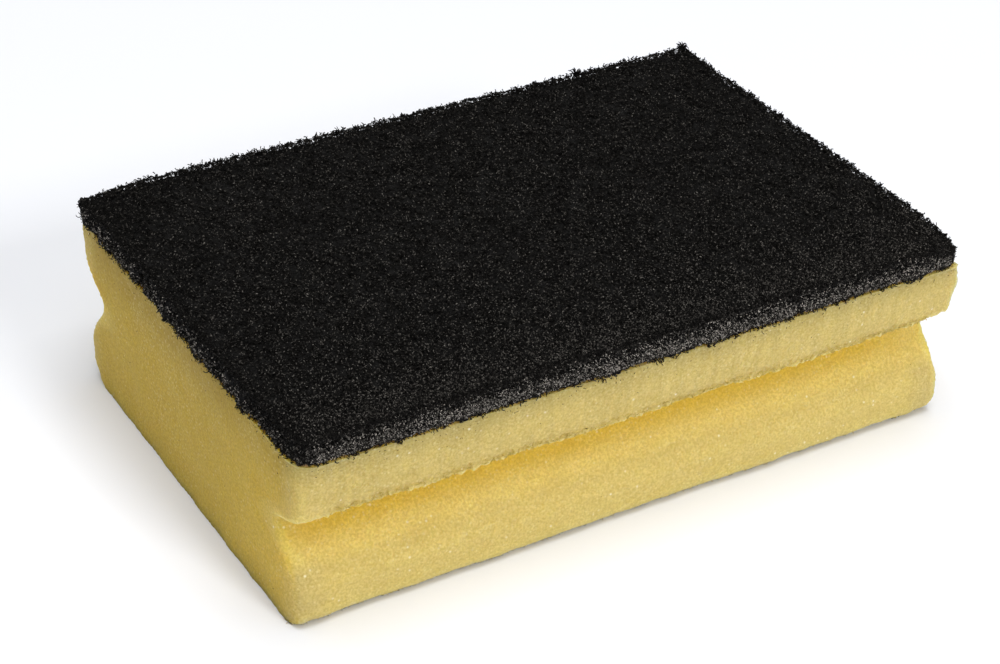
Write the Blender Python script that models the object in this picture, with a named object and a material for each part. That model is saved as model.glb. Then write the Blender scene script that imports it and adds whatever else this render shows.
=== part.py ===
"""Grip sponge with an abrasive face, for washing and scouring tiles and grout.

A block of polyurethane foam has a finger groove along each long side. A film of adhesive on its top
bonds a pad of coarse non-woven fibre to it. Each of the three pieces is its own closed solid.

Metres, +Z up. The origin is in the middle of the foam's underside. +X runs along the block, so the
two grooves face -Y and +Y.
"""
import math

import bmesh
import bpy

# Driving dimensions, in metres
LENGTH = 0.150
WIDTH = 0.100
FOAM_HEIGHT = 0.0375
ADHESIVE_THICKNESS = 0.0004
PAD_THICKNESS = 0.0050
SEAT_GAP = 0.0003              # left between two pieces that touch

# The long sides, from the underside up: a rounded foot, a full lower lobe, the groove and the lip
FOOT_WIDTH = 0.0072            # how far the foot's rounding reaches in under the block
FOOT_HEIGHT = 0.0066
LOBE_TOP = 0.0078              # the lobe is widest from the foot's rounding up to here
LOBE_INSET = 0.0014            # the lobe's side stands this far inside the lip's
GROOVE_HEIGHT = 0.0212         # the groove is deepest at this height
GROOVE_DEPTH = 0.0094          # measured from the lip's side
LIP_BOTTOM = 0.0282
LIP_DRAFT = 0.0004             # the lip is this much narrower at its foot than at its top

FOAM_CORNER_RADIUS = 0.0028    # the four upright corners of the foam
ADHESIVE_EDGE_INSET = 0.0006   # the film stops short of the foam's edge
PAD_CORNER_RADIUS = 0.0022
PAD_EDGE_ROUNDING = 0.0007

FOOT_STEPS = 6
FLANK_STEPS = 9
SHELF_STEPS = 8
CORNER_STEPS = 4
SHARP_ANGLE = math.radians(40)

HALF_LENGTH = LENGTH / 2
HALF_WIDTH = WIDTH / 2
ADHESIVE_BOTTOM = FOAM_HEIGHT + SEAT_GAP
PAD_BOTTOM = ADHESIVE_BOTTOM + ADHESIVE_THICKNESS + SEAT_GAP


def clear_scene():
    for obj in list(bpy.data.objects):
        bpy.data.objects.remove(obj, do_unlink=True)


def make_material(name, colour, roughness, metallic=0.0):
    material = bpy.data.materials.new(name)
    material.use_nodes = True
    shader = material.node_tree.nodes["Principled BSDF"]
    shader.inputs["Base Color"].default_value = (*colour, 1.0)
    shader.inputs["Roughness"].default_value = roughness
    shader.inputs["Metallic"].default_value = metallic
    return material


def add_object(name, shape, material):
    """Turn a bmesh into a named object with smooth round faces."""
    bmesh.ops.recalc_face_normals(shape, faces=shape.faces)
    mesh = bpy.data.meshes.new(name)
    shape.to_mesh(mesh)
    shape.free()
    mesh.shade_smooth()
    mesh.set_sharp_from_angle(angle=SHARP_ANGLE)
    mesh.materials.append(material)
    obj = bpy.data.objects.new(name, mesh)
    bpy.context.scene.collection.objects.link(obj)
    return obj


def eased(start, end, step, steps):
    """A value that leaves start and reaches end along half a cosine wave."""
    return start + (end - start) * (1 - math.cos(math.pi * step / steps)) / 2


def side_outline():
    """One long side of the foam, from its foot up, as (distance from the middle, height)."""
    lobe = HALF_WIDTH - LOBE_INSET
    groove = HALF_WIDTH - GROOVE_DEPTH
    lip = HALF_WIDTH - LIP_DRAFT
    outline = []
    for step in range(FOOT_STEPS + 1):
        turn = math.radians(90) * step / FOOT_STEPS
        across = lobe - FOOT_WIDTH * (1 - math.sin(turn))
        outline.append((across, FOOT_HEIGHT * (1 - math.cos(turn))))
    for step in range(FLANK_STEPS + 1):
        height = LOBE_TOP + (GROOVE_HEIGHT - LOBE_TOP) * step / FLANK_STEPS
        outline.append((eased(lobe, groove, step, FLANK_STEPS), height))
    for step in range(1, SHELF_STEPS + 1):
        height = GROOVE_HEIGHT + (LIP_BOTTOM - GROOVE_HEIGHT) * step / SHELF_STEPS
        outline.append((eased(groove, lip, step, SHELF_STEPS), height))
    outline.append((HALF_WIDTH, FOAM_HEIGHT))
    return outline


def corner_stations():
    """Where the foam's cross-sections lie along X, each with how far the corner draws its sides in."""
    near = []
    for step in range(CORNER_STEPS + 1):
        turn = math.radians(90) * step / CORNER_STEPS
        run_in = FOAM_CORNER_RADIUS * (1 - math.cos(turn))
        near.append((-HALF_LENGTH + run_in, FOAM_CORNER_RADIUS * (1 - math.sin(turn))))
    return near + [(-x, inset) for x, inset in reversed(near)]


def build_foam_body(material):
    """The foam block: the side outline bridged from end to end, narrowed at its upright corners."""
    side = side_outline()
    shape = bmesh.new()
    loops = []
    for x, inset in corner_stations():
        right = [(across - inset, height) for across, height in side]
        outline = right + [(-across, height) for across, height in reversed(right)]
        loops.append([shape.verts.new((x, y, z)) for y, z in outline])
    for loop, following in zip(loops, loops[1:]):
        for corner in range(len(loop)):
            shape.faces.new(
                (loop[corner - 1], loop[corner], following[corner], following[corner - 1])
            )
    shape.faces.new(loops[0])
    shape.faces.new(loops[-1])
    return add_object("foam_body", shape, material)


def rounded_slab(length, width, bottom, thickness, corner_radius):
    """A flat slab with round upright corners."""
    shape = bmesh.new()
    bmesh.ops.create_cube(shape, size=1.0)
    bmesh.ops.scale(shape, vec=(length, width, thickness), verts=shape.verts)
    bmesh.ops.translate(shape, vec=(0, 0, bottom + thickness / 2), verts=shape.verts)
    upright = [edge for edge in shape.edges if edge.verts[0].co.xy == edge.verts[1].co.xy]
    bmesh.ops.bevel(
        shape, geom=upright, offset=corner_radius, segments=CORNER_STEPS,
        profile=0.5, affect="EDGES",
    )
    return shape


def build_adhesive_layer(material):
    """The film of hot-melt adhesive between the foam and the pad."""
    trim = 2 * ADHESIVE_EDGE_INSET
    shape = rounded_slab(
        LENGTH - trim, WIDTH - trim, ADHESIVE_BOTTOM, ADHESIVE_THICKNESS, PAD_CORNER_RADIUS
    )
    return add_object("adhesive_layer", shape, material)


def build_abrasive_pad(material):
    """The non-woven fibre pad that covers the whole top, with its outer edge worn round."""
    shape = rounded_slab(LENGTH, WIDTH, PAD_BOTTOM, PAD_THICKNESS, PAD_CORNER_RADIUS)
    top = PAD_BOTTOM + PAD_THICKNESS
    rim = [edge for edge in shape.edges if all(abs(v.co.z - top) < SEAT_GAP / 10 for v in edge.verts)]
    bmesh.ops.bevel(
        shape, geom=rim, offset=PAD_EDGE_ROUNDING, segments=2, profile=0.5, affect="EDGES"
    )
    return add_object("abrasive_pad", shape, material)


def main():
    clear_scene()
    build_foam_body(make_material("yellow_foam", (0.72, 0.56, 0.16), 0.85))
    build_adhesive_layer(make_material("amber_adhesive", (0.55, 0.28, 0.06), 0.35))
    build_abrasive_pad(make_material("black_fibre", (0.012, 0.011, 0.010), 0.7))


main()
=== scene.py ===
"""Looks for the grooved scouring sponge: cellular foam, an amber glue line and a web of black fibre.

Everything is in metres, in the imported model's own frame: +X along the sponge, +Z up, and the middle
of the foam's underside at the origin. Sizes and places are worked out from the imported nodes.
"""

import math

import bpy
import numpy as np
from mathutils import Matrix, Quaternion, Vector


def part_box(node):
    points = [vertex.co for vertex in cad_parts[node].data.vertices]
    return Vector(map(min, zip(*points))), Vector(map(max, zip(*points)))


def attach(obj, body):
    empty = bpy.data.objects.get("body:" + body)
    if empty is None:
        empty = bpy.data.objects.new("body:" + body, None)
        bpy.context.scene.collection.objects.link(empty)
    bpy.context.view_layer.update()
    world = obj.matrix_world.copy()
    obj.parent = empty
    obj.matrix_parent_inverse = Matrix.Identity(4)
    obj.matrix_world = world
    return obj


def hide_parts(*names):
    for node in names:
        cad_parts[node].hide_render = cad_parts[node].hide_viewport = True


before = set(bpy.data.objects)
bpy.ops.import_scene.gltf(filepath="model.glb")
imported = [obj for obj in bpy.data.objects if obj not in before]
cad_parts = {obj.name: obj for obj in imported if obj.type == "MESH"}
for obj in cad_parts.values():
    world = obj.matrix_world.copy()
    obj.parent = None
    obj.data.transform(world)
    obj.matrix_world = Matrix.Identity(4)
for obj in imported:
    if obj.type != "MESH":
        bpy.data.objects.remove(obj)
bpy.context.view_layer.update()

MM = 0.001
BAKE_MAP = "OFBake"  # the name given to each piece's bake map
CHART_SHRINK = 0.99  # of a bake chart, to keep it clear of its neighbours
CHART_SLACK = 1.03
ACROSS = ((1, 2), (0, 2), (0, 1))  # the two other axes, for each axis

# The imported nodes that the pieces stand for
_, FOAM_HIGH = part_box("foam_body")
GLUE_LOW, GLUE_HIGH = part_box("adhesive_layer")
PAD_LOW, PAD_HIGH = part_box("abrasive_pad")
HALF_LENGTH = FOAM_HIGH.x
HALF_WIDTH = FOAM_HIGH.y
FOAM_HEIGHT = FOAM_HIGH.z

# Foam: the grid of its surface, and how far the real block strays from its drawing
FOAM_COUNTS = (286, 184, 84)  # quads along X, Y and up a side
FRONT_LIP_DROP = 2.3 * MM  # the -Y lip hangs lower than the drawing
BACK_LIP_RISE = 0.7 * MM
BACK_GROOVE_RISE = 1.2 * MM
BACK_LIP_BULGE = 0.4 * MM
FLANK_FULLNESS = 0.9 * MM  # the -Y side is fuller just below its groove
FLANK_HEIGHT = 17 * MM
FLANK_REACH = 5 * MM
FRONT_FOOT_RADIUS = 3.6 * MM  # the -Y foot is rounded less than the drawing's
FOOT_RELEASE = 0.4  # but by this share more like the drawing's at the +X end
RIGHT_END_REACH = 7 * MM  # of what is special to the +X end
RIGHT_END_BULGE = 0.3 * MM
RIGHT_BULGES = (  # more of it half way up the lip and low down, as (far, height, reach)
    (1.0 * MM, 0.87 * FOAM_HEIGHT, 3.4 * MM), (0.6 * MM, 5 * MM, 4.5 * MM),
)
RIGHT_LIP_RISE = 0.9 * MM  # the lip's lower edge turns up a little there
LEFT_CORNER = (  # the upright corner at (-X, -Y), as (height, radius)
    (0, 1.3 * MM), (5 * MM, 3.2 * MM), (11 * MM, 3.2 * MM),
    (20 * MM, 2.0 * MM), (29 * MM, 2.0 * MM), (FOAM_HEIGHT, 4.4 * MM),
)
RIGHT_CORNER_RADIUS = 0.7 * MM
BACK_CORNER_RADIUS = 1.6 * MM
FOAM_SWELL = ((60 * MM, 0.20 * MM), (14 * MM, 0.07 * MM), (4 * MM, 0.04 * MM))
LIP_RAGGEDNESS = ((9 * MM, 0.10 * MM), (3 * MM, 0.18 * MM), (1.2 * MM, 0.32 * MM))
LIP_BAND = 1.6 * MM  # the height over which the lip's edge is ragged
BACK_RAGGEDNESS = 0.5  # of the +Y lip, against the -Y one
CELL_ROUGHNESS = 0.055 * MM
LIP_BURRS = 4000
FOOT_BURRS = 900

# Foam colours. The tints are painted shade, multiplied on to the foam's own colour, and the glints are
# painted highlights.
FOAM_CELL = (0.728, 0.562, 0.147)
FOAM_STRUT = (0.938, 0.758, 0.248)
# painted highlight colour of the foam's soft cell-window glints
FOAM_PAINTED_GLINT = (0.90, 0.80, 0.44)
PAINTED_WINDOW_GLINT = (1.0, 0.96, 0.76)  # painted highlight of a cell window that faces the light
BODY_PAINTED_SHADE = (0.81, 0.80, 0.87)  # painted shade: the foam's lower body darker than the flank above it
CORNER_PAINTED_SHADE = (0.97, 0.975, 1.0)  # painted shade of a side, close to an end
# painted shade of the lower body, close to an end
BODY_CORNER_PAINTED_SHADE = (0.91, 0.915, 1.0)
# painted shade: the upright lip darker than the flank below it
LIP_PAINTED_SHADE = (0.80, 0.79, 0.90)
GROOVE_PAINTED_SHADE = (0.91, 0.81, 0.35)  # painted shade deep in the grooves, saturated as by light bounced inside them
# painted shade of the end faces: all over, away from the -Y side and at the foot, and close under the pad
END_PAINTED_SHADE = (0.88, 0.75, 0.32)
END_MIDDLE_PAINTED_SHADE = (0.82, 0.82, 0.82)
PAD_SHADE_AND_RIB_TINT = (0.78, 0.78, 0.78)  # painted shade close under the pad; also the colour of the lip's faint ribs
END_SEAM_PAINTED_SHADE = (0.70, 0.70, 0.74)
GROOVE_MIDDLE = 0.54 * FOAM_HEIGHT
GROOVE_HALF_HEIGHT = 6.5 * MM
GROOVE_DEPTH = 9 * MM
END_FADE = 8 * MM  # from an end face's outline to where its tint is full
LIP_FRAY = 1.0 * MM  # how far the lip's tint strays up and down

# Glue: the film and its beads
GLUE_COUNTS = (200, 134, 2)
BEAD_SIZE = 2.6 * MM
BEAD_RARITY = 1.7  # in spreads of the ripples that the beads are the tops of
BEAD_SQUEEZE = 1.5 * MM
GLUE_SHORTFALL = 0.7 * MM

# Abrasive pad: a dark felted core, and the fibres that show on and around it
CORE_COUNTS = (210, 140, 8)
CORE_FOOT_INSET = 0.10 * MM  # the core stops short of the pad's cut edges, more so higher up
CORE_HEAD_INSET = 0.40 * MM
CORE_TOP_INSET = 0.75 * MM
CORE_DROOP = 0.4 * MM  # the rim's foot laps over the glue on to the foam
CORE_LUMPS = ((9 * MM, 0.10 * MM), (3 * MM, 0.12 * MM), (1.5 * MM, 0.10 * MM))
CORE_ROUGHNESS = 0.05 * MM
EDGE_WANDER = ((14 * MM, 0.16 * MM), (4.5 * MM, 0.16 * MM), (2 * MM, 0.10 * MM))
SEAM_WANDER = ((7 * MM, 0.16 * MM), (2.4 * MM, 0.22 * MM), (1.1 * MM, 0.14 * MM))
PAD_BACK_RADIUS = 1.6 * MM  # of the pad's two corners on the +Y side
PAD_FRONT_RADIUS = 4.2 * MM
PAD_SHORTFALL = 0.7 * MM  # how far the pad stops short at its (-X, -Y) corner
SHORTFALL_REACH = 12 * MM
FRONT_CORNER_FALL = 2.3 * MM  # how far its top drops at its (+X, -Y) corner
FRONT_FALL_REACH = 5.5 * MM
BACK_CORNER_FALL = 1.5 * MM  # and at its (-X, +Y) corner
BACK_FALL_REACH = 11 * MM
PAD_RIM_FALL = 0.9 * MM  # how far the pad's top rounds down at its cut edges
PAD_RIM_REACH = 1.5 * MM
FIBRE_RADIUS = 0.056 * MM
FIBRE_SIDES = 3
CURL_STEPS = 7
TUFTS = ((0.988, 70), (0.60, 22), (-0.21, 20), (-0.82, 16), (-0.985, 26))  # (share of X, fibres)
TOP_FLAKE_SHADE = 0.47  # of the palest, for the flakes' painted highlights
EDGE_FLAKE_SHADE = 2.1
DARK_SPECK_BANDS = (  # (lowest, highest, number)
    (36 * MM, 37.4 * MM, 420), (31 * MM, 36 * MM, 70), (4 * MM, 31 * MM, 26), (0.1 * MM, 1.0 * MM, 640),
)
MOST_TRIANGLES = 195000  # in one piece of web

# Light: a lamp's brightness is that of a white card at the sponge, held square to the lamp
WORLD_STRENGTH = 0.11
LAMPS = (  # (name, azimuth, elevation, distance, size, brightness)
    ("overhead", 0, 88, 2.5, 1.85, 0.82),
    ("key", 10.5, 33, 2.6, 0.58, 0.41),
    ("fill", -25, 62, 2.5, 1.35, 0.20),
)
FLOOR_REACH = 6.0
FLOOR_COLOUR = (0.868, 0.884, 0.925, 1.0)

# Camera: one that stands in front of the sponge's left end and looks down on it
CAMERA_AZIMUTH = -31.84
CAMERA_ELEVATION = 33.10
CAMERA_ROLL = 2.23
CAMERA_DISTANCE = 0.48115
CAMERA_TARGET = Vector((-6.13 * MM, -4.62 * MM, 20 * MM))
CAMERA_LENS = 84.03
SENSOR_WIDTH = 36.0


# ---------------- meshes

def unit(vectors):
    """The same directions with a length of 1."""
    return vectors / np.maximum(np.linalg.norm(vectors, axis=-1, keepdims=True), 1e-12)


def ripples(points, wavelength, seed):
    """A smooth random value at each point, with a mean of 0 and a spread of 1."""
    waves = 26
    rng = np.random.default_rng(seed)
    directions = unit(rng.normal(size=(waves, 3)))
    pitches = rng.uniform(0.6, 1.5, waves) * 2 * math.pi / wavelength
    phases = rng.uniform(0, 2 * math.pi, waves)
    field = np.sin(points @ (directions * pitches[:, None]).T + phases)
    return field.sum(axis=1) * math.sqrt(2 / waves)


def layered_ripples(points, layers, seed):
    """The sum of several ripples, each given as (wavelength, height)."""
    total = np.zeros(len(points))
    for number, (wavelength, height) in enumerate(layers):
        total += height * ripples(points, wavelength, seed + number)
    return total


def box_skin(counts, whole):
    """The skin of a grid of quads shaped as a box.

    Returns the whole-number corner places, the quads, and which side (axis, end) each quad is on. The
    sides named in whole are one polygon each, in place of a grid.
    """
    blocks, sides = [], []
    for axis in range(3):
        first, second = ACROSS[axis]
        for end in (0, 1):
            if (axis, end) in whole:
                continue
            i, j = np.meshgrid(np.arange(counts[first]), np.arange(counts[second]), indexing="ij")
            quad = np.zeros((i.size, 4, 3), int)
            quad[..., axis] = end * counts[axis]
            for number, (di, dj) in enumerate(((0, 0), (1, 0), (1, 1), (0, 1))):
                quad[:, number, first] = i.ravel() + di
                quad[:, number, second] = j.ravel() + dj
            if (end == 0) != (axis == 1):
                quad = quad[:, ::-1]
            blocks.append(quad)
            sides += [(axis, end)] * len(quad)
    corners = np.concatenate(blocks)
    strides = np.array([1, counts[0] + 1, (counts[0] + 1) * (counts[1] + 1)])
    keys, inverse = np.unique(corners @ strides, return_inverse=True)
    places = np.stack([keys % strides[1], keys % strides[2] // strides[1], keys // strides[2]], axis=1)
    faces = [tuple(face) for face in inverse.reshape(-1, 4)]
    for axis, end in whole:
        rim = rim_of_side(counts, axis, end)
        faces.append(tuple(np.searchsorted(keys, rim @ strides)))
        sides.append((axis, end))
    return places, faces, sides


def rim_of_side(counts, axis, end):
    """The grid places round one side of the box, in the order that faces it outwards."""
    first, second = ACROSS[axis]
    corners = np.array([(0, 0), (1, 0), (1, 1), (0, 1), (0, 0)]) * (counts[first], counts[second])
    pairs = np.concatenate([
        start + np.arange(abs(stop - start).max())[:, None] * np.sign(stop - start)
        for start, stop in zip(corners, corners[1:])
    ])
    rim = np.full((len(pairs), 3), end * counts[axis])
    rim[:, [first, second]] = pairs
    return rim[::-1] if (end == 0) != (axis == 1) else rim


def unwrap_box(mesh, places, counts, sides):
    """A bake map with each side of the box in a chart of its own, all at about one scale."""
    length, width, height = (float(count) for count in counts)
    sheet = max(2 * length, length + width + height)
    charts = {
        (1, 0): (0, 0), (1, 1): (0, height),
        (0, 0): (length, 0), (0, 1): (length, height),
        (2, 1): (0, 2 * height), (2, 0): (length, 2 * height),
    }
    spread = max(sheet, 2 * height + width) * CHART_SLACK
    coordinates = []
    for polygon, (axis, end) in zip(mesh.polygons, sides):
        first, second = ACROSS[axis]
        left, bottom = charts[axis, end]
        for vertex in polygon.vertices:
            place = places[vertex]
            coordinates.append((left + place[first] * CHART_SHRINK + 0.5) / spread)
            coordinates.append((bottom + place[second] * CHART_SHRINK + 0.5) / spread)
    mesh.uv_layers.new(name=BAKE_MAP).data.foreach_set("uv", coordinates)


def skin_mesh(name, points, faces):
    mesh = bpy.data.meshes.new(name)
    mesh.from_pydata(points.tolist(), [], faces)
    mesh.update()
    return mesh


def normals_of(mesh):
    normals = np.zeros(len(mesh.vertices) * 3, np.float32)
    mesh.vertex_normals.foreach_get("vector", normals)
    return normals.reshape(-1, 3).astype(float)


def points_of(mesh):
    return np.array([vertex.co for vertex in mesh.vertices])


def move_points(mesh, points):
    mesh.vertices.foreach_set("co", points.astype(np.float32).ravel())
    mesh.update()


def triangle_mesh(name, points, triangles):
    """A mesh from arrays, which is quick for the many thousands of triangles in the web."""
    mesh = bpy.data.meshes.new(name)
    mesh.vertices.add(len(points))
    mesh.vertices.foreach_set("co", points.astype(np.float32).ravel())
    mesh.loops.add(triangles.size)
    mesh.loops.foreach_set("vertex_index", triangles.astype(np.int32).ravel())
    mesh.polygons.add(len(triangles))
    mesh.polygons.foreach_set("loop_start", np.arange(0, triangles.size, 3, dtype=np.int32))
    mesh.update(calc_edges=True)
    return mesh


def new_object(name, data):
    made = bpy.data.objects.new(name, data)
    bpy.context.scene.collection.objects.link(made)
    return made


def add_piece(name, mesh, material):
    """Put a finished mesh in the scene as a piece that rides on the sponge."""
    mesh.shade_smooth()
    mesh.materials.append(material)
    piece = new_object(name, mesh)
    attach(piece, "root")
    return piece


# ---------------- materials

class Shader:
    """A node material built from its Principled shader outwards."""

    def __init__(self, name):
        self.material = bpy.data.materials.new(name)
        self.material.use_nodes = True
        self.tree = self.material.node_tree
        self.surface = self.tree.nodes["Principled BSDF"]
        self.position = self.tree.nodes.new("ShaderNodeTexCoord").outputs["Object"]

    def node(self, kind, **settings):
        made = self.tree.nodes.new(kind)
        for key, value in settings.items():
            if key in made.inputs:
                made.inputs[key].default_value = value
            else:
                setattr(made, key, value)
        return made

    def link(self, source, target):
        self.tree.links.new(source, target)

    def noise(self, scale, detail=2.0, roughness=0.5):
        made = self.node("ShaderNodeTexNoise", Scale=scale, Detail=detail, Roughness=roughness)
        self.link(self.position, made.inputs["Vector"])
        return made.outputs["Fac"]

    def cells(self, scale, output="Distance"):
        made = self.node("ShaderNodeTexVoronoi", Scale=scale)
        self.link(self.position, made.inputs["Vector"])
        return made.outputs[output]

    def lots(self, scale):
        """A random value for each cell, as 0 to 1."""
        split = self.node("ShaderNodeSeparateColor")
        self.link(self.cells(scale, "Color"), split.inputs[0])
        return split.outputs[0]

    def remap(self, value, low, high, to_low=0.0, to_high=1.0, kind="LINEAR"):
        made = self.node("ShaderNodeMapRange", interpolation_type=kind)
        self.link(value, made.inputs["Value"])
        for key, number in zip(("From Min", "From Max", "To Min", "To Max"), (low, high, to_low, to_high)):
            made.inputs[key].default_value = number
        return made.outputs["Result"]

    def math(self, operation, first, second=0.0):
        made = self.node("ShaderNodeMath", operation=operation)
        for socket, value in zip(made.inputs, (first, second)):
            if isinstance(value, (int, float)):
                socket.default_value = value
            else:
                self.link(value, socket)
        return made.outputs[0]

    def times(self, first, second):
        return self.math("MULTIPLY", first, second)

    def mix(self, factor, first, second, blend="MIX"):
        made = self.tree.nodes.new("ShaderNodeMix")
        made.data_type = "RGBA"
        made.blend_type = blend
        for socket, value in zip((made.inputs[0], made.inputs[6], made.inputs[7]), (factor, first, second)):
            if isinstance(value, (int, float)):
                socket.default_value = value
            elif isinstance(value, tuple):
                socket.default_value = (*value, 1.0)
            else:
                self.link(value, socket)
        return made.outputs[2]

    def bump(self, height, distance, strength, normal=None):
        made = self.node("ShaderNodeBump", Strength=strength, Distance=distance)
        self.link(height, made.inputs["Height"])
        if normal is not None:
            self.link(normal, made.inputs["Normal"])
        return made.outputs["Normal"]

    def set(self, **values):
        """Give inputs of the surface a value or a link. Their names have _ in place of a space."""
        for key, value in values.items():
            socket = self.surface.inputs[key.replace("_", " ")]
            if isinstance(value, bpy.types.NodeSocket):
                self.link(value, socket)
            else:
                socket.default_value = value


def foam_material():
    """Open-cell polyurethane foam: translucent, finely grained, with painted highlights at cell windows
    that catch the light, and painted shade by zone.
    """
    shader = Shader("cellular_foam")
    grain = shader.noise(2000.0, 2.0, 0.6)
    colour = shader.mix(shader.remap(grain, 0.37, 0.63), FOAM_CELL, FOAM_STRUT)
    mottle = shader.remap(shader.noise(1150.0, 1.0), 0.62, 0.38)
    colour = shader.mix(shader.times(mottle, 0.22), colour, FOAM_CELL)
    patches = shader.remap(shader.noise(160.0, 3.0), 0.35, 0.65)
    colour = shader.mix(shader.times(patches, 0.25), colour, FOAM_CELL)
    colour, side = foam_painted_shade(shader, colour)
    # painted highlights: soft glints of cell windows, and strong ones made weaker on the shaded end faces
    soft = painted_window_glints(shader, 1500.0, 0.45, 0.46)
    colour = shader.mix(shader.times(soft, 0.36), colour, FOAM_PAINTED_GLINT)
    strong = painted_window_glints(shader, 800.0, 0.87, 0.27)
    strong = shader.times(strong, shader.remap(side, 0.0, 1.0, 0.20, 0.68))
    colour = shader.mix(strong, colour, PAINTED_WINDOW_GLINT)
    fine = shader.bump(grain, 0.26 * MM, 0.9)
    coarse = shader.bump(shader.noise(700.0, 3.0), 0.22 * MM, 0.6, fine)
    roughness = shader.remap(strong, 0.0, 1.0, 0.66, 0.38)
    shader.set(Base_Color=colour, Roughness=roughness, Normal=coarse, Specular_IOR_Level=0.25)
    shader.set(Subsurface_Weight=1.0, Subsurface_Scale=6 * MM, Subsurface_Radius=(1.0, 0.85, 0.45))
    return shader.material


def burr_material():
    """The same foam where it is only a loose strut, too thin to hold light."""
    shader = Shader("foam_struts")
    shade = shader.remap(shader.noise(1200.0), 0.35, 0.65)
    colour = shader.mix(shade, (0.46, 0.345, 0.085), (0.68, 0.54, 0.17))
    shader.set(Base_Color=colour, Roughness=0.7, Specular_IOR_Level=0.1)
    return shader.material


def painted_window_glints(shader, scale, odds, size):
    """Spots at the middles of some cells, each of its own strength, as 0 to 1."""
    strength = shader.remap(shader.lots(scale), odds, 1.0)
    return shader.times(strength, shader.remap(shader.cells(scale), size, 0.4 * size))


def foam_painted_shade(shader, colour):
    """Paint shade on to the foam by where it is: its sides zone by zone, and its end faces.

    Returns the colour, and where the foam is a side and not an end face.
    """
    axes = shader.node("ShaderNodeSeparateXYZ")
    shader.link(shader.position, axes.inputs[0])
    x, y, height = axes.outputs
    end = end_mask(shader, x, y, height)
    side = shader.math("SUBTRACT", 1.0, end)
    for mask, zones in ((side, side_painted_shade(shader, x, y, height)), (end, end_painted_shade(shader, y, height))):
        for share, tint in zones:
            colour = shader.mix(shader.times(mask, share), colour, tint, "MULTIPLY")
    return colour, side


def by_height(shader, height, low, high):
    """0 at low and 1 at high, which are shares of the foam's height."""
    return shader.remap(height, low * FOAM_HEIGHT, high * FOAM_HEIGHT, kind="SMOOTHSTEP")


def end_mask(shader, x, y, height):
    """1 over an end face, fading out towards its outline, which the grooves draw in."""
    from_groove = shader.math("ABSOLUTE", shader.math("SUBTRACT", height, GROOVE_MIDDLE))
    drawn_in = shader.remap(from_groove, GROOVE_HALF_HEIGHT, MM, 0.0, GROOVE_DEPTH, kind="SMOOTHSTEP")
    across = shader.math("ADD", shader.math("ABSOLUTE", y), drawn_in)
    inside = shader.remap(across, HALF_WIDTH - 0.5 * MM, HALF_WIDTH - END_FADE)
    face = shader.remap(shader.math("ABSOLUTE", x), HALF_LENGTH - 1.1 * MM, HALF_LENGTH - 0.5 * MM)
    return shader.times(face, inside)


def side_painted_shade(shader, x, y, height):
    """The painted shade of the foam's sides and where each lies, from the foot up, with the lip's faint
    ribs.
    """
    back_rise = FRONT_LIP_DROP + BACK_LIP_RISE
    raised = shader.remap(y, -HALF_WIDTH / 2, HALF_WIDTH / 2, 0.0, back_rise)
    fray = shader.remap(shader.noise(700.0, 2.0), 0.25, 0.75, -LIP_FRAY, LIP_FRAY)
    ragged = shader.math("SUBTRACT", shader.math("ADD", height, fray), raised)
    along = shader.math("ABSOLUTE", x)
    corner = shader.remap(along, HALF_LENGTH - 8 * MM, HALF_LENGTH - 2 * MM, kind="SMOOTHSTEP")
    body_corner = shader.times(corner, by_height(shader, height, 0.42, 0.30))
    left_edge = shader.remap(x, 3 * MM - HALF_LENGTH, 0.5 * MM - HALF_LENGTH, 1.0, 0.5)
    lip = shader.times(by_height(shader, ragged, 0.640, 0.672), left_edge)
    ribs = shader.remap(lip_ribs(shader), 0.3, 0.7, 0.0, 0.5)
    return (
        (by_height(shader, height, 0.40, 0.30), BODY_PAINTED_SHADE),
        (corner, CORNER_PAINTED_SHADE),
        (body_corner, BODY_CORNER_PAINTED_SHADE),
        (lip, LIP_PAINTED_SHADE),
        (groove_shade_share(shader, x, corner, height, ragged), GROOVE_PAINTED_SHADE),
        (shader.times(by_height(shader, height, 0.63, 0.66), ribs), PAD_SHADE_AND_RIB_TINT),
        # painted shade close under the pad
        (by_height(shader, height, 0.84, 1.02), PAD_SHADE_AND_RIB_TINT),
    )


def groove_shade_share(shader, x, corner, height, ragged):
    """Where the grooves' painted shade lies: from the lobe up to the lip, and less so towards the ends."""
    above_lobe = by_height(shader, height, 0.385, 0.50)
    under_lip = by_height(shader, ragged, 0.680, 0.655)
    share = shader.times(above_lobe, under_lip)
    share = shader.times(share, shader.remap(corner, 0.0, 1.0, 1.0, 0.6))
    right_fade = shader.remap(x, HALF_LENGTH - 17 * MM, HALF_LENGTH - 4 * MM, 1.0, 0.35)
    return shader.times(share, right_fade)


def end_painted_shade(shader, y, height):
    """The painted shade of the end faces: all over, away from the -Y side and at the foot, and by the seam.
    """
    middle = shader.remap(y, -43 * MM, -10 * MM, kind="SMOOTHSTEP")
    middle = shader.math("MAXIMUM", middle, by_height(shader, height, 0.26, 0.0))
    return (
        (1.0, END_PAINTED_SHADE),
        (middle, END_MIDDLE_PAINTED_SHADE),
        (by_height(shader, height, 0.62, 1.02), END_SEAM_PAINTED_SHADE),
    )


def lip_ribs(shader):
    """Faint upright ribs, where the cutting wire has dragged."""
    squash = shader.node("ShaderNodeMapping")
    squash.inputs["Scale"].default_value = (1.0, 1.0, 0.12)
    shader.link(shader.position, squash.inputs["Vector"])
    made = shader.node("ShaderNodeTexNoise", Scale=620.0, Detail=1.0)
    shader.link(squash.outputs[0], made.inputs["Vector"])
    return made.outputs["Fac"]


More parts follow.
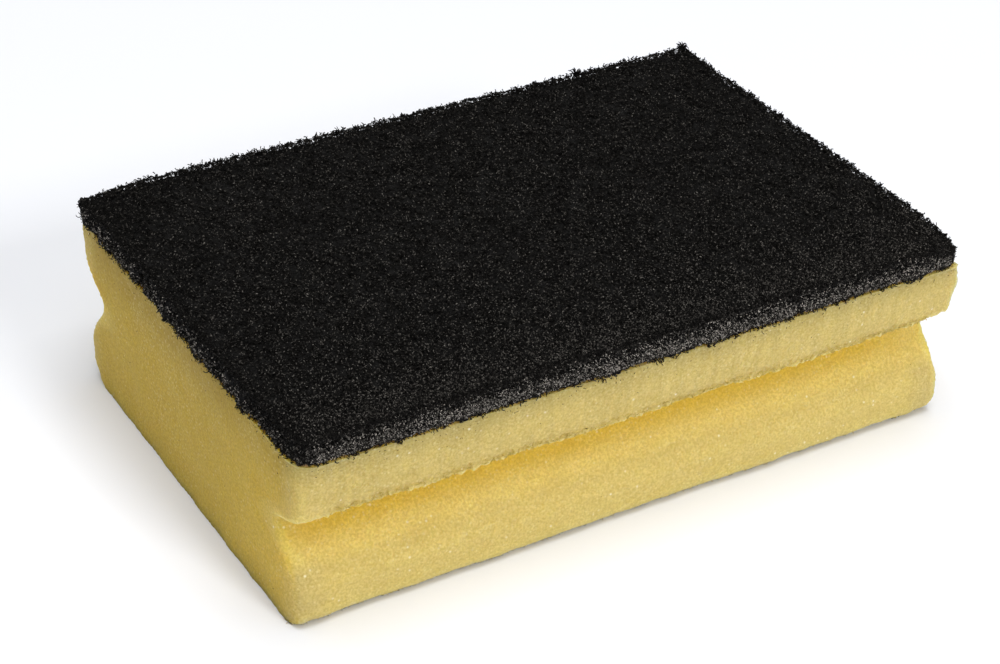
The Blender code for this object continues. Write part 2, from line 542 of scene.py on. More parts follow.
def glue_material():
    """Hot-melt adhesive: amber, slightly cloudy, with a dull skin."""
    shader = Shader("amber_adhesive")
    clouds = shader.noise(420.0, 4.0, 0.6)
    colour = shader.mix(shader.remap(clouds, 0.35, 0.7), (0.26, 0.135, 0.040), (0.45, 0.27, 0.10))
    roughness = shader.remap(clouds, 0.3, 0.7, 0.28, 0.55)
    shader.set(Base_Color=colour, Roughness=roughness, Normal=shader.bump(clouds, 0.1 * MM, 0.5))
    return shader.material


def core_material():
    """The pad's dark inside: matted fibre and resin, with pale specks painted in as highlights where a
    fibre catches light.
    """
    shader = Shader("felted_core")
    strands = shader.noise(1700.0, 3.0, 0.65)
    resin = shader.remap(strands, 0.36, 0.66)
    colour = shader.mix(resin, (0.0012, 0.0011, 0.0010), (0.009, 0.0086, 0.0082))
    # painted highlights: pale specks in a few cells
    chosen = shader.remap(shader.lots(4200.0), 0.84, 0.86)
    painted_glint = shader.times(chosen, shader.remap(shader.cells(4200.0), 0.45, 0.15))
    colour = shader.mix(painted_glint, colour, (0.050, 0.0485, 0.047))
    roughness = shader.remap(strands, 0.3, 0.7, 0.9, 0.6)
    relief = shader.bump(strands, 0.3 * MM, 0.8)
    shader.set(Base_Color=colour, Roughness=roughness, Normal=relief, Specular_IOR_Level=0.08)
    return shader.material


def fibre_material():
    """Black nylon coated with resin and grit. Each fibre has its own shade, held in its mesh; its pale
    stretches are painted highlights.
    """
    shader = Shader("abrasive_fibre")
    shade = shader.node("ShaderNodeAttribute", attribute_name="shade").outputs["Fac"]
    # the pale end is the colour of the painted highlights, warm as with light bounced off the foam
    colour = shader.mix(shader.remap(shade, 0.0, 1.0), (0.0021, 0.0019, 0.0018), (0.620, 0.575, 0.515))
    grit = shader.remap(shader.noise(2600.0, 2.0, 0.6), 0.55, 0.72)
    colour = shader.mix(shader.times(grit, 0.5), colour, (0.006, 0.0058, 0.0056))
    shader.set(Base_Color=colour, Roughness=0.45, Specular_IOR_Level=0.05)
    return shader.material


def floor_material():
    shader = Shader("studio_floor")
    shader.set(Base_Color=FLOOR_COLOUR, Roughness=1.0, Specular_IOR_Level=0.0)
    return shader.material


# ---------------- foam block

def foam_side(steps):
    """The foam's side from its foot up, as (half width, height) at equal steps, read from its node."""
    points = points_of(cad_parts["foam_body"].data)
    inmost = abs(points[:, 0]).min()
    middle = points[abs(points[:, 0]) < inmost + 0.1 * MM]
    heights = np.unique(middle[:, 2].round(6))
    halves = np.array([abs(middle[abs(middle[:, 2] - z) < 2e-6, 1]).max() for z in heights])
    run = np.concatenate([[0], np.cumsum(np.hypot(np.diff(halves), np.diff(heights)))])
    at = np.linspace(0, run[-1], steps + 1)
    side = np.stack([np.interp(at, run, halves), np.interp(at, run, heights)], axis=1)
    for _ in range(6):
        side[1:-1] = side[1:-1] / 2 + (side[:-2] + side[2:]) / 4
    return side


def groove_and_lip(side):
    """The heights of the groove's deepest part and of the lip's lower edge."""
    upper = side[side[:, 1] > FOAM_HEIGHT / 3]
    groove = upper[upper[:, 0].argmin(), 1]
    lip = upper[(upper[:, 1] > groove) & (upper[:, 0] > HALF_WIDTH - 0.5 * MM), 1].min()
    return groove, lip


def near(value, centre, reach):
    """1 at the centre, falling smoothly to 0 a few reaches away."""
    return np.exp(-(((value - centre) / reach) ** 2))


def step_up(value, low, high):
    """0 below low, 1 above high, and an even S between them."""
    share = np.clip((value - low) / (high - low), 0, 1)
    return share * share * (3 - 2 * share)


def corner_inset(x, front, z):
    """How far the rounding of an upright corner draws a side in, this far along the foam."""
    left_front = np.interp(z, *zip(*LEFT_CORNER))
    radius = np.where(front, np.where(x < 0, left_front, RIGHT_CORNER_RADIUS), BACK_CORNER_RADIUS)
    run = np.clip(HALF_LENGTH - abs(x), 0, radius)
    return radius - np.sqrt(radius**2 - (radius - run) ** 2)


def foam_points(places):
    """The foam's surface before its roughness: the node's profile with this block's own set."""
    count_x, count_y, count_z = FOAM_COUNTS
    side = foam_side(count_z)
    x = HALF_LENGTH * (2 * places[:, 0] / count_x - 1)
    across = 2 * places[:, 1] / count_y - 1
    front = across < 0
    half, drawn_z = side[places[:, 2]].T
    z = set_heights(side, x, across, drawn_z)
    half = np.where(front, front_half(side, x, z, half), back_half(side, z, half))
    x = x + right_bulge(x, z)
    y = across * (half - corner_inset(np.minimum(x, HALF_LENGTH), front, z))
    return np.stack([x, y, z], axis=1)


def set_heights(side, x, across, z):
    """The drawing's heights, with the -Y lip hung lower and the +Y lip and groove a little higher."""
    groove, lip = groove_and_lip(side)
    drawn = (0, groove, lip, FOAM_HEIGHT)
    front_lip = lip - FRONT_LIP_DROP
    front_z = np.interp(z, drawn, (0, groove, front_lip, FOAM_HEIGHT))
    rise = RIGHT_LIP_RISE * step_up(x, HALF_LENGTH - 9 * MM, HALF_LENGTH)
    front_z = front_z + rise * near(front_z, front_lip, 4 * MM)
    back_z = np.interp(z, drawn, (0, groove + BACK_GROOVE_RISE, lip + BACK_LIP_RISE, FOAM_HEIGHT))
    return front_z + (back_z - front_z) * step_up(across, -1, 1)


def front_half(side, x, z, half):
    """How far the -Y side stands from the middle: a squarer foot and a fuller flank than drawn."""
    groove, _ = groove_and_lip(side)
    lobe = side[: np.searchsorted(side[:, 1], groove)]
    widest, widest_z = lobe[lobe[:, 0].argmax()]
    below = (FRONT_FOOT_RADIUS - z).clip(0)
    lost = FRONT_FOOT_RADIUS - np.sqrt(FRONT_FOOT_RADIUS**2 - below**2)
    squared = 1 - FOOT_RELEASE * step_up(x, HALF_LENGTH - RIGHT_END_REACH, HALF_LENGTH)
    filled = np.where(z < widest_z, np.maximum(widest - lost - half, 0) * squared, 0)
    return half + filled + FLANK_FULLNESS * near(z, FLANK_HEIGHT, FLANK_REACH)


def back_half(side, z, half):
    """How far the +Y side stands from the middle: as drawn, with a slightly fuller lip."""
    _, lip = groove_and_lip(side)
    return half + BACK_LIP_BULGE * step_up(z, lip, lip + 4 * MM)


def right_bulge(x, z):
    """How far the +X end stands out past the drawing."""
    bulge = RIGHT_END_BULGE + sum(far * near(z, height, reach) for far, height, reach in RIGHT_BULGES)
    return near(x, HALF_LENGTH, RIGHT_END_REACH) * bulge


def lip_edge(points):
    """The height of the lip's lower edge on the side that each point is on."""
    _, lip = groove_and_lip(foam_side(FOAM_COUNTS[2]))
    return lip - np.where(points[:, 1] < 0, FRONT_LIP_DROP, -BACK_LIP_RISE)


def make_foam(material):
    """The foam block: a fine skin over the node's shape, roughened to the size of its cells."""
    places, faces, sides = box_skin(FOAM_COUNTS, whole=((2, 0), (2, 1)))
    points = foam_points(places)
    mesh = skin_mesh("foam_block", points, faces)
    normals = normals_of(mesh)
    rng = np.random.default_rng(11)
    height = layered_ripples(points, FOAM_SWELL, 20)
    height += CELL_ROUGHNESS * rng.normal(size=len(points)).clip(-2.2, 2.2)
    height *= 1 - 0.8 * near(points[:, 2], FOAM_HEIGHT, 0.4 * MM)
    band = near(points[:, 2], lip_edge(points), LIP_BAND) * (abs(points[:, 1]) > HALF_WIDTH - 6 * MM)
    points = points + normals * height[:, None]
    band *= 1 - 0.7 * step_up(points[:, 0], HALF_LENGTH - 6 * MM, HALF_LENGTH)
    band *= np.where(places[:, 1] < FOAM_COUNTS[1] / 2, 1, BACK_RAGGEDNESS)
    points[:, 2] += band * layered_ripples(points * (1, 0.3, 0.3), LIP_RAGGEDNESS, 40)
    points[:, 2] = points[:, 2].clip(0, FOAM_HEIGHT)
    move_points(mesh, points)
    unwrap_box(mesh, places, FOAM_COUNTS, sides)
    piece = add_piece("foam_block", mesh, material)
    mesh.set_sharp_from_angle(angle=math.radians(60))
    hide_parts("foam_body")
    return piece


def pick(rng, choices):
    """Random rows, some from each choice of (rows, count) in turn."""
    return np.concatenate([rng.choice(np.flatnonzero(rows), count) for rows, count in choices])


def make_burrs(foam, material):
    """Cut struts that stand out of the lip's lower edge and of the block's foot."""
    rng = np.random.default_rng(909)
    points = points_of(foam.data)
    normals = normals_of(foam.data)
    side = abs(points[:, 1]) > HALF_WIDTH - 3 * MM
    front = points[:, 1] < 0
    thinned = front | (rng.random(len(points)) < 0.25)
    from_edge = abs(points[:, 2] - lip_edge(points))
    lip_rows = side & thinned & (from_edge < np.where(front, 0.6 * MM, 1.6 * MM))
    lip_rows &= abs(points[:, 0]) < HALF_LENGTH - 6 * MM
    foot_rows = (abs(points[:, 1]) > HALF_WIDTH - 7 * MM) & (points[:, 2] < 0.6 * MM)
    chosen = pick(rng, ((lip_rows, LIP_BURRS), (foot_rows, FOOT_BURRS)))
    roots = points[chosen] + rng.normal(0, 0.15 * MM, (len(chosen), 3)) - normals[chosen] * 0.05 * MM
    aim = normals[chosen] * 0.5 + rng.normal(0, 0.6, roots.shape)
    paths = curls(rng, roots, aim, rng.uniform(0.25 * MM, 0.6 * MM, len(roots)), 0.4, 2.5)
    paths[..., 2] = paths[..., 2].clip(0.05 * MM, FOAM_HEIGHT)
    radii = 0.5 * MM * rng.uniform(0.10, 0.22, (len(roots), 1)) * np.linspace(1.2, 0.4, CURL_STEPS)
    web_piece("foam_burrs", paths, radii, np.ones(radii.shape), material)


# ---------------- glue line

def make_glue(material):
    """The film of hot-melt adhesive, with a few beads squeezed out of the seam."""
    places, faces, sides = box_skin(GLUE_COUNTS, whole=())
    share = 2 * places / np.array(GLUE_COUNTS) - 1
    half = np.array([GLUE_HIGH.x, GLUE_HIGH.y])
    plan = share[:, :2] * half
    along = level(plan)
    bead = (ripples(along, BEAD_SIZE, 60) - BEAD_RARITY).clip(0, 1)
    squeeze = 0.12 * MM * ripples(along, 16 * MM, 62) - GLUE_SHORTFALL + BEAD_SQUEEZE * bead
    rim = np.clip((abs(share[:, :2]) - 0.985) / 0.015, 0, 1)
    plan = plan + np.sign(share[:, :2]) * rim * squeeze[:, None]
    outside, way = outside_pad(plan)
    plan = plan - way * np.maximum(outside - 0.6 * MM * bead, 0)[:, None]
    middle = (GLUE_LOW.z + GLUE_HIGH.z) / 2
    thickness = (GLUE_HIGH.z - GLUE_LOW.z) / 2 * (1.2 + 0.2 * ripples(along, 2.5 * MM, 66))
    z = middle + share[:, 2] * thickness * (1 - 0.5 * rim.max(axis=1))
    mesh = skin_mesh("glue_film", np.column_stack([plan, z]), faces)
    unwrap_box(mesh, places, GLUE_COUNTS, sides)
    piece = add_piece("glue_film", mesh, material)
    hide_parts("adhesive_layer")


# ---------------- abrasive pad

def level(plan):
    return np.column_stack([plan, np.zeros(len(plan))])


def outside_pad(plan):
    """How far each point of a plan lies outside the pad's wandering outline, and the way out."""
    radius = np.where(plan[:, 1] < 0, PAD_FRONT_RADIUS, PAD_BACK_RADIUS)
    half = np.array([PAD_HIGH.x, PAD_HIGH.y]) - radius[:, None]
    beyond = abs(plan) - half
    outside = np.maximum(beyond, 0)
    reach = np.linalg.norm(outside, axis=1)
    inner = np.minimum(beyond.max(axis=1), 0)
    corner = outside / np.maximum(reach, 1e-9)[:, None]
    nearest = (beyond >= beyond.max(axis=1)[:, None]).astype(float)
    way = np.where((reach > 0)[:, None], corner, nearest) * np.sign(plan)
    wander = layered_ripples(level(plan), EDGE_WANDER, 90)
    wander -= PAD_SHORTFALL * near_corner(plan, -1, -1, SHORTFALL_REACH)
    return reach + inner - radius - wander, way


def near_corner(plan, end_x, end_y, reach):
    """1 at one of the pad's corners, falling to 0 a few reaches away."""
    corner = np.array([end_x * PAD_HIGH.x, end_y * PAD_HIGH.y])
    return near(np.linalg.norm(plan - corner, axis=1), 0, reach)


def corner_fall(plan):
    """How far the pad's top drops towards its two worn corners."""
    front = FRONT_CORNER_FALL * near_corner(plan, 1, -1, FRONT_FALL_REACH)
    return front + BACK_CORNER_FALL * near_corner(plan, -1, 1, BACK_FALL_REACH)


def seam_drop(plan):
    """How much lower the pad's ragged lower edge hangs here than its mean."""
    return layered_ripples(level(plan), SEAM_WANDER, 95)


def rim_fall(plan, outside):
    """How far the pad's top rounds down at this place in its plan."""
    return PAD_RIM_FALL * near(np.minimum(outside, 0), 0, PAD_RIM_REACH) + corner_fall(plan)


def make_core(material):
    """The pad's matted core, inside the visible fibres, with a lumpy top."""
    places, faces, sides = box_skin(CORE_COUNTS, whole=((2, 0),))
    share = 2 * places / np.array(CORE_COUNTS) - 1
    up = (share[:, 2] + 1) / 2
    plan = share[:, :2] * np.array([PAD_HIGH.x, PAD_HIGH.y])
    rim = abs(share[:, :2]).max(axis=1) ** 8
    inset = CORE_FOOT_INSET + (CORE_HEAD_INSET - CORE_FOOT_INSET) * up**2
    outside, way = outside_pad(plan)
    trim = np.maximum(outside + inset, 0) * rim + np.maximum(outside, 0) * (1 - rim)
    plan = plan - way * trim[:, None]
    top = PAD_HIGH.z - CORE_TOP_INSET - 0.8 * rim_fall(plan, outside)
    edge = near(np.minimum(outside, 0), 0, 0.5 * MM)
    bottom = PAD_LOW.z - (CORE_DROOP + 0.6 * seam_drop(plan)) * edge
    points = np.column_stack([plan, bottom + (top - bottom) * up])
    mesh = skin_mesh("pad_core", points, faces)
    lumps = layered_ripples(points, CORE_LUMPS, 80)
    lumps += CORE_ROUGHNESS * np.random.default_rng(85).normal(size=len(points)).clip(-2, 2)
    points = points + normals_of(mesh) * lumps[:, None]
    move_points(mesh, points)
    unwrap_box(mesh, places, CORE_COUNTS, sides)
    piece = add_piece("pad_core", mesh, material)
    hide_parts("abrasive_pad")


def crimped_paths(rng, centres, lengths, steps, turns, lift):
    """The centrelines of fibres that curl from side to side as they run, each about its centre.

    Each of turns is (swing in radians, shortest wave, longest wave), and lift is the swing up and down.
    """
    count = len(centres)
    along = np.linspace(0, 1, steps)[None, :] * lengths[:, None]
    heading = rng.uniform(0, 2 * math.pi, (count, 1)) + rng.normal(0, 60, (count, 1)) * along
    for swing, shortest, longest in turns:
        wave = rng.uniform(shortest, longest, (count, 1))
        phase = rng.uniform(0, 2 * math.pi, (count, 1))
        swings = swing * rng.uniform(0.7, 1.3, (count, 1))
        heading = heading + swings * np.sin(2 * math.pi * along / wave + phase)
    wave = rng.uniform(1.3 * MM, 3.2 * MM, (count, 1))
    phase = rng.uniform(0, 2 * math.pi, (count, 1))
    pitch = lift * rng.uniform(0.4, 1.3, (count, 1)) * np.sin(2 * math.pi * along / wave + phase)
    step = lengths[:, None] / (steps - 1)
    moves = np.stack([
        np.cos(heading) * np.cos(pitch), np.sin(heading) * np.cos(pitch), np.sin(pitch),
    ], axis=2) * step[..., None]
    paths = np.cumsum(moves, axis=1)
    return paths - paths.mean(axis=1, keepdims=True) + centres[:, None, :]


def kept_in_pad(paths, overhang, top, bottom):
    """Push the paths back inside the pad's outline, but for each fibre's own overhang."""
    count, steps, _ = paths.shape
    flat = paths[..., :2].reshape(-1, 2)
    outside, way = outside_pad(flat)
    free = np.repeat(overhang, steps)
    flat = flat - way * np.maximum(outside - free, 0)[:, None]
    height = paths[..., 2]
    top = top[:, None] - rim_fall(flat, outside).reshape(count, steps)
    height = np.minimum(height, top + 0.25 * np.maximum(height - top, 0))
    height = np.maximum(height, bottom[:, None])
    return np.concatenate([flat.reshape(count, steps, 2), height[..., None]], axis=2)


def tubes(paths, radii):
    """Thin closed tubes along paths: their points, and their triangles."""
    count, steps, _ = paths.shape
    tangents = unit(np.gradient(paths, axis=1))
    side = np.cross(tangents[:, 0], (0.31, -0.22, 0.92))
    normals = np.zeros_like(paths)
    for step in range(steps):
        side = unit(side - tangents[:, step] * (side * tangents[:, step]).sum(axis=1, keepdims=True))
        normals[:, step] = side
    across = np.cross(tangents, normals)
    turn = 2 * math.pi * np.arange(FIBRE_SIDES) / FIBRE_SIDES
    radii = radii[:, :, None, None]
    rings = paths[:, :, None] + radii * np.cos(turn)[:, None] * normals[:, :, None]
    rings = rings + radii * np.sin(turn)[:, None] * across[:, :, None]
    one = []
    for step in range(steps - 1):
        for corner in range(FIBRE_SIDES):
            a = step * FIBRE_SIDES + corner
            b = step * FIBRE_SIDES + (corner + 1) % FIBRE_SIDES
            one += [(a, b, b + FIBRE_SIDES), (a, b + FIBRE_SIDES, a + FIBRE_SIDES)]
    last = (steps - 1) * FIBRE_SIDES
    one += [(0, 2, 1), (last, last + 1, last + 2)]
    size = steps * FIBRE_SIDES
    triangles = np.array(one)[None] + size * np.arange(count)[:, None, None]
    return rings.reshape(-1, 3), triangles.reshape(-1, 3)


def web_piece(name, paths, radii, shades, material):
    """One mesh of many fibres, with the shade along each and a small bake chart for each."""
    count, steps, _ = paths.shape
    points, triangles = tubes(paths, radii)
    mesh = triangle_mesh(name, points, triangles)
    shade = mesh.attributes.new("shade", "FLOAT", "POINT")
    shade.data.foreach_set("value", np.repeat(shades.ravel(), FIBRE_SIDES).astype(np.float32))
    grid = math.ceil(math.sqrt(count))
    fibre = np.arange(count)
    corner = np.stack([fibre % grid, fibre // grid], axis=1)
    along = np.repeat(np.linspace(0.08, 0.92, steps), FIBRE_SIDES)
    round_it = np.tile(np.linspace(0.25, 0.75, FIBRE_SIDES), steps)
    chart = (corner[:, None, :] + np.stack([along, round_it], axis=1)[None]) / grid
    mesh.uv_layers.new(name=BAKE_MAP).data.foreach_set(
        "uv", chart.reshape(-1, 2)[triangles.ravel()].astype(np.float32).ravel()
    )
    return add_piece(name, mesh, material)


def painted_glint_shades(rng, count, steps, share):
    """How pale each fibre is at each step: black, but for short pale stretches painted in as highlights
    where it catches the light.
    """
    pale = rng.random((count, steps)) < share * rng.uniform(0.2, 1.8, (count, 1))
    return np.where(pale, rng.uniform(0.057, 0.178, (count, steps)), rng.uniform(0, 0.014, (count, steps)))


def knobbly_radii(rng, count, steps):
    """Fibre radii with lumps of resin and grit, and thinner ends."""
    radii = FIBRE_RADIUS * rng.uniform(0.75, 1.35, (count, 1)) * rng.uniform(0.85, 1.2, (count, steps))
    lumps = rng.random((count, steps)) < 0.05
    radii = np.where(lumps, radii * 1.7, radii)
    radii[:, [0, -1]] *= 0.55
    return radii


def split_web(prefix, paths, radii, shades, material):
    """Make fibres, split into pieces of a size that the export keeps whole."""
    each = MOST_TRIANGLES // ((paths.shape[1] - 1) * FIBRE_SIDES * 2 + 2)
    for number, start in enumerate(range(0, len(paths), each)):
        part = slice(start, start + each)
        web_piece(f"{prefix}_{number + 1}", paths[part], radii[part], shades[part], material)


def make_web(prefix, rng, paths, painted_glint_share, stoutness, material):
    """Fibres along these paths, knobbly with resin and grit."""
    count, steps, _ = paths.shape
    radii = stoutness * knobbly_radii(rng, count, steps)
    shades = painted_glint_shades(rng, count, steps, painted_glint_share)
    split_web(prefix, paths, radii, shades, material)


def make_surface_fibres(material):
    """The tangle of crimped fibres over the pad's top."""
    rng = np.random.default_rng(101)
    count = 24000
    centres = np.column_stack([
        rng.uniform(-PAD_HIGH.x, PAD_HIGH.x, count),
        rng.uniform(-PAD_HIGH.y, PAD_HIGH.y, count),
        PAD_HIGH.z - rng.uniform(0.10 * MM, 1.15 * MM, count),
    ])
    lengths = rng.uniform(3.6 * MM, 6.4 * MM, count)
    turns = ((1.6, 1.1 * MM, 2.2 * MM), (0.9, 3.0 * MM, 6 * MM))
    paths = crimped_paths(rng, centres, lengths, 14, turns, 0.55)
    overhang = rng.exponential(0.12 * MM, count).clip(0, 0.6 * MM)
    top = PAD_HIGH.z + rng.exponential(0.10 * MM, count).clip(0, 0.5 * MM)
    paths = kept_in_pad(paths, overhang, top, np.full(count, PAD_LOW.z))
    make_web("web_top", rng, paths, 0.08, 1.10, material)


def make_edge_fibres(material):
    """The denser fibres round the pad's cut edges, which hide its core and the glue."""
    rng = np.random.default_rng(202)
    count = 7000
    centres = perimeter_points(rng, count, rng.uniform(-0.2 * MM, 1.3 * MM, count))
    centres[:, 2] = rng.uniform(PAD_LOW.z - 0.3 * MM, PAD_HIGH.z, count)
    lengths = rng.uniform(2.4 * MM, 5.0 * MM, count)
    turns = ((1.6, 1.0 * MM, 2.0 * MM), (0.9, 3 * MM, 6 * MM))
    paths = crimped_paths(rng, centres, lengths, 17, turns, 0.9)
    overhang = 0.12 * MM + rng.exponential(0.16 * MM, count).clip(0, 0.8 * MM)
    top = PAD_HIGH.z + rng.exponential(0.10 * MM, count).clip(0, 0.5 * MM)
    bottom = PAD_LOW.z - 0.15 * MM - seam_drop(centres[:, :2]) - rng.exponential(0.15 * MM, count)
    paths = kept_in_pad(paths, overhang, top, bottom)
    make_web("web_edge", rng, paths, 0.13, 1.5, material)


def perimeter_points(rng, count, depth):
    """Random places round the pad's outline, each a given depth inside it."""
    half_x, half_y = PAD_HIGH.x, PAD_HIGH.y
    run = rng.uniform(0, 4 * (half_x + half_y), count)
    points = np.zeros((count, 3))
    for number, at in enumerate(run):
        for ends, other, turned in ((half_x, half_y, False), (half_y, half_x, True)) * 2:
            if at < 2 * ends:
                break
            at -= 2 * ends
        sign = 1 if number % 2 else -1
        pair = (at - ends, sign * (other - depth[number]))
        points[number, :2] = pair[::-1] if turned else pair
    return points


def curls(rng, roots, aim, lengths, least_turn, most_turn):
    """Short fibres that leave their roots along aim and curl round to any side."""
    count = len(roots)
    aim = unit(aim)
    bend = unit(np.cross(aim, rng.normal(size=(count, 3))))
    angle = np.linspace(0, 1, CURL_STEPS)[None, :] * rng.uniform(least_turn, most_turn, (count, 1))
    curve = np.sin(angle)[..., None] * aim[:, None, :] + (1 - np.cos(angle))[..., None] * bend[:, None, :]
    radius = lengths[:, None] / np.maximum(angle[:, -1:], 0.5)
    return roots[:, None, :] + curve * radius[..., None]


def make_whiskers(material):
    """Loose ends that stand in small tufts out of the pad's edges and top rim."""
    rng = np.random.default_rng(303)
    count = 10000
    tuft_count = count // 4
    tufts = perimeter_points(rng, tuft_count, rng.uniform(0, 0.7 * MM, tuft_count))
    tufts[:, 2] = rng.uniform(PAD_LOW.z, PAD_HIGH.z - 0.4 * MM, len(tufts))
    high = rng.random(len(tufts)) < 0.5
    tufts[:, 2] = np.where(high, PAD_HIGH.z - rng.uniform(0.3 * MM, 1.0 * MM, len(tufts)), tufts[:, 2])
    tufts[:, 2] = np.maximum(tufts[:, 2] - corner_fall(tufts[:, :2]), PAD_LOW.z)
    pick = rng.integers(0, len(tufts), count)
    roots = tufts[pick] + rng.normal(0, 0.22 * MM, (count, 3))
    outside, way = outside_pad(roots[:, :2])
    roots[:, :2] -= way * np.maximum(outside, 0)[:, None]
    aim = np.column_stack([way, 0.5 * high[pick]]) * rng.uniform(0.2, 1.0, (count, 1))
    aim += rng.normal(0, 0.7, (count, 3))
    paths = curls(rng, roots, aim, rng.uniform(0.35 * MM, 1.0 * MM, count), 1.0, 4.5)
    paths[..., 2] = paths[..., 2].clip(PAD_LOW.z - 1.2 * MM, None)
    make_web("web_whiskers", rng, paths, 0.03, 1.7, material)


def make_fringe(material):
    """The ragged ends along the seam, some of them straying down over the foam."""
    rng = np.random.default_rng(404)
    count = 9000
    roots = perimeter_points(rng, count, rng.uniform(-0.25 * MM, 0.1 * MM, count))
    roots[:, 2] = PAD_LOW.z + rng.normal(0, 0.42 * MM, count) - seam_drop(roots[:, :2])
    outside, way = outside_pad(roots[:, :2])
    roots[:, :2] -= way * (outside - rng.uniform(0.02 * MM, 0.18 * MM, count))[:, None]
    aim = rng.normal(0, 1, (count, 3)) * (1, 1, 0.8) - np.array([0, 0, 0.2])
    aim -= level(way) * (aim[:, :2] * way).sum(axis=1)[:, None] * 0.7
    lengths = rng.uniform(0.2 * MM, 0.9 * MM, count) + rng.exponential(0.2 * MM, count).clip(0, 0.9 * MM)
    paths = curls(rng, roots, aim, lengths, 1.0, 5.0)
    make_web("web_fringe", rng, paths, 0.20, 1.5, material)


def make_tufts(material):
    """The tuft that stands up at the (+X, +Y) corner, and smaller ones along the back edge."""
    rng = np.random.default_rng(505)
    roots = []
    for along, count in TUFTS:
        centre = np.array([along * PAD_HIGH.x, 0.985 * PAD_HIGH.y, PAD_HIGH.z - 0.7 * MM])
        centre[2] -= 1.4 * corner_fall(centre[None, :2])[0]
        roots.append(centre + rng.normal(0, 1, (count, 3)) * (0.28 * MM, 0.28 * MM, 0.25 * MM))
    roots = np.concatenate(roots)
    count = len(roots)
    aim = rng.normal(0, 0.28, (count, 3)) + np.array([0.05, 0.1, 1.0])
    aim[roots[:, 0] < -0.9 * PAD_HIGH.x] -= (1.3, 0, 0.9)
    paths = curls(rng, roots, aim, rng.uniform(0.8 * MM, 2.2 * MM, count), 0.8, 3.2)
    make_web("web_tufts", rng, paths, 0.03, 2.0, material)


def make_flakes(prefix, rng, centres, palest, material):
    """Specks of grit and cut fibre ends, pale as painted highlights where they catch the light."""
    count = len(centres)
    aim = unit(rng.normal(size=(count, 3)))
    reach = rng.uniform(0.06 * MM, 0.20 * MM, (count, 1, 1))
    paths = centres[:, None, :] + aim[:, None, :] * reach * np.array([-1, 1])[None, :, None]
    radii = rng.uniform(0.06 * MM, 0.10 * MM, (count, 2))
    shades = palest * rng.beta(0.4, 2.0, (count, 1)) * np.ones(2)
    split_web(prefix, paths, radii, shades, material)


def make_top_flakes(material):
    """Flakes over the pad's top, more of them towards its front edge, which faces the light: painted
    highlights.
    """
    rng = np.random.default_rng(606)
    count = 60000
    from_front = 2 * PAD_HIGH.y * rng.random(count) ** 1.8
    at_front = rng.random(count) < 0.22
    from_front = np.where(at_front, rng.exponential(6 * MM, count).clip(0, 40 * MM), from_front)
    centres = np.column_stack([
        rng.uniform(-PAD_HIGH.x, PAD_HIGH.x, count),
        from_front - PAD_HIGH.y,
        PAD_HIGH.z - rng.uniform(-0.05 * MM, 0.45 * MM, count),
    ])
    outside, way = outside_pad(centres[:, :2])
    centres[:, :2] -= way * np.maximum(outside, 0)[:, None]
    centres[:, 2] -= rim_fall(centres[:, :2], outside)
    make_flakes("grit_and_glints_top", rng, centres, TOP_FLAKE_SHADE, material)


def make_edge_flakes(material):
    """Flakes round the pad's cut edges, pale as painted highlights. The front edge faces the light and
    keeps the most of them.
    """
    rng = np.random.default_rng(707)
    count = 52000
    centres = perimeter_points(rng, count, np.zeros(count))
    centres[:, 2] = PAD_LOW.z - 0.1 * MM + rng.beta(1.0, 2.2, count) * (PAD_HIGH.z - PAD_LOW.z)
    outside, way = outside_pad(centres[:, :2])
    up = (centres[:, 2] - PAD_LOW.z) / (PAD_HIGH.z - PAD_LOW.z)
    centres[:, :2] -= way * (outside + rng.uniform(-0.42 * MM, 0, count) + 0.5 * MM * up**2)[:, None]
    centres[:, 2] -= up * corner_fall(centres[:, :2])
    # painted highlights: flakes on edges facing -Y, towards the light, are kept far more often
    share = 0.22 + 0.78 * (-way[:, 1]).clip(0, 1)
    kept = rng.random(count) < share * (1 - 0.25 * step_up(centres[:, 0], 0, 60 * MM))
    make_flakes("grit_and_glints_edge", rng, centres[kept], EDGE_FLAKE_SHADE, material)


def make_dark_specks(foam, material):
    """Black specks: a few below the seam, more along the block's lower edge."""
    rng = np.random.default_rng(808)
    points = points_of(foam.data)
    normals = normals_of(foam.data)
    z = points[:, 2]
    on_a_side = abs(points[:, 1]) > HALF_WIDTH - 5 * MM
    chosen = pick(rng, (
        ((z >= low) & (z <= high) & (on_a_side | (low > MM)), count) for low, high, count in DARK_SPECK_BANDS
    ))
    roots = points[chosen] + normals[chosen] * 0.05 * MM
    aim = rng.normal(size=roots.shape)
    aim -= normals[chosen] * (aim * normals[chosen]).sum(axis=1, keepdims=True) * 0.85
    lengths = 0.12 * MM + rng.exponential(0.14 * MM, len(roots)).clip(0, 1.2 * MM)
    paths = curls(rng, roots, aim, lengths, 0.2, 1.2)
    paths[..., 2] = paths[..., 2].clip(0.1 * MM, None)
    make_web("dark_specks", rng, paths, 0.0, 1.0, material)


# ---------------- studio

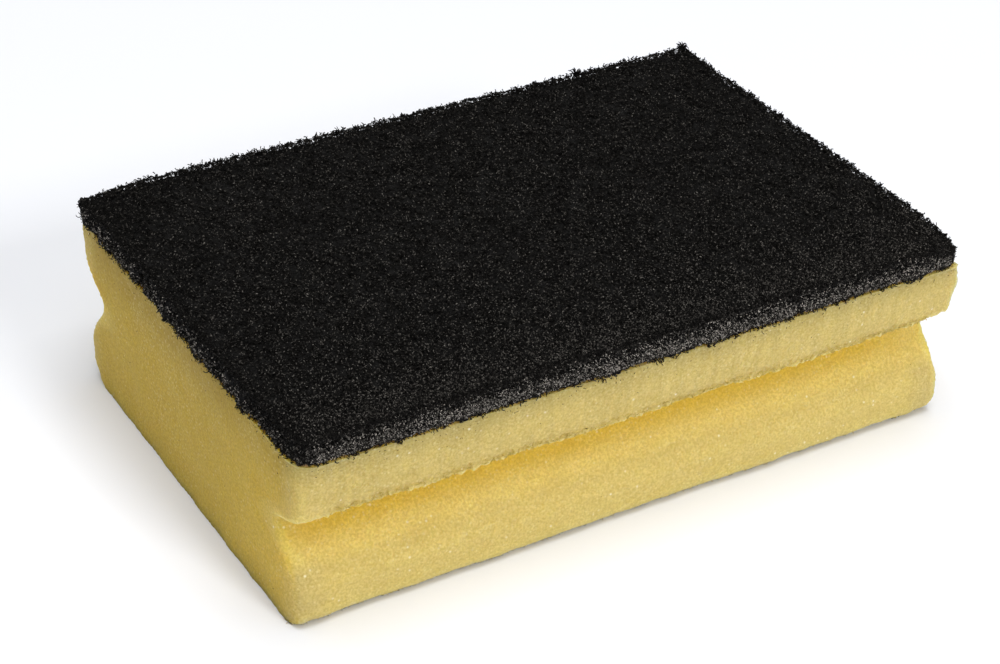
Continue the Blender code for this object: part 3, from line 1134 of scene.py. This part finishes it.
def make_floor():
    mesh = bpy.data.meshes.new("floor")
    corners = [(FLOOR_REACH * x, FLOOR_REACH * y, 0) for x, y in ((-1, -1), (1, -1), (1, 1), (-1, 1))]
    mesh.from_pydata(corners, [], [(0, 1, 2, 3)])
    mesh.materials.append(floor_material())
    floor = new_object("floor", mesh)


def make_world():
    world = bpy.data.worlds.new("studio")
    world.use_nodes = True
    background = world.node_tree.nodes["Background"]
    background.inputs["Color"].default_value = (1, 1, 1, 1)
    background.inputs["Strength"].default_value = WORLD_STRENGTH
    bpy.context.scene.world = world


def place(name, data, target, azimuth, elevation, distance, roll=0.0):
    """Stand a lamp or camera off from its target, to look back at it. Azimuth 0 is -Y, and 90 is +X."""
    around, above = math.radians(azimuth), math.radians(elevation)
    way = Vector((
        math.sin(around) * math.cos(above), -math.cos(around) * math.cos(above), math.sin(above),
    ))
    made = new_object(name, data)
    made.location = target + way * distance
    made.rotation_mode = "QUATERNION"
    turn = Quaternion((0, 0, 1), math.radians(roll))
    made.rotation_quaternion = (-way).to_track_quat("-Z", "Y") @ turn
    return made


def add_lamp(name, azimuth, elevation, distance, size, brightness):
    """A square soft light, aimed at the sponge."""
    light = bpy.data.lights.new(name, "AREA")
    light.size = size
    light.energy = brightness * (math.pi * distance) ** 2
    place(name, light, Vector((0, 0, 0)), azimuth, elevation, distance)


def make_camera():
    data = bpy.data.cameras.new("camera")
    data.lens = CAMERA_LENS
    data.sensor_width = SENSOR_WIDTH
    data.clip_start = 0.01
    camera = place(
        "camera", data, CAMERA_TARGET, CAMERA_AZIMUTH, CAMERA_ELEVATION, CAMERA_DISTANCE, CAMERA_ROLL,
    )
    bpy.context.scene.camera = camera


make_camera()
foam = make_foam(foam_material())
make_burrs(foam, burr_material())
make_glue(glue_material())
make_core(core_material())
web = fibre_material()
make_surface_fibres(web)
make_edge_fibres(web)
make_whiskers(web)
make_fringe(web)
make_tufts(web)
make_top_flakes(web)
make_edge_flakes(web)
make_dark_specks(foam, web)
make_floor()
make_world()
for lamp in LAMPS:
    add_lamp(*lamp)
bpy.context.scene.view_settings.view_transform = "Standard"
